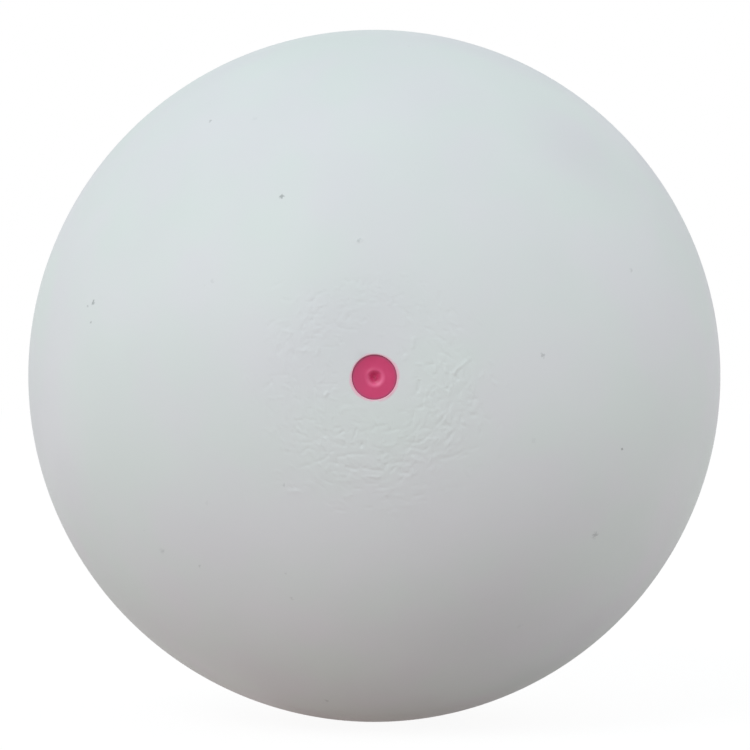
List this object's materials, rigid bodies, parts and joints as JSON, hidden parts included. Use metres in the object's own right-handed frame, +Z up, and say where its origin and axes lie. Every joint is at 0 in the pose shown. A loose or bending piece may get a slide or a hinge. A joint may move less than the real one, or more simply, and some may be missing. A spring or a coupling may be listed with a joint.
{
  "type": "soft tennis ball",
  "caption": "Hollow ball of soft white rubber, cemented from two half shells, with a recessed round pink needle valve that seals itself.",
  "frame": {"origin": "centre of the ball", "axes": "+Z up as pictured; -Y is the direction that the valve faces, so the Y axis is the valve's axis; +X to the right when looking at the valve"},
  "size_m": [0.066, 0.0659, 0.066],
  "materials": {
    "shell_rubber": "matte",
    "seat_rubber": "matte",
    "plug_rubber": "satin",
    "gum_rubber": "satin"
  },
  "bodies": {
    "root": {"shell_front_half": "shell_rubber", "shell_back_half": "shell_rubber", "valve_seat": "seat_rubber", "valve_plug": "plug_rubber", "sealing_gum": "gum_rubber"}
  },
  "joints": []
}
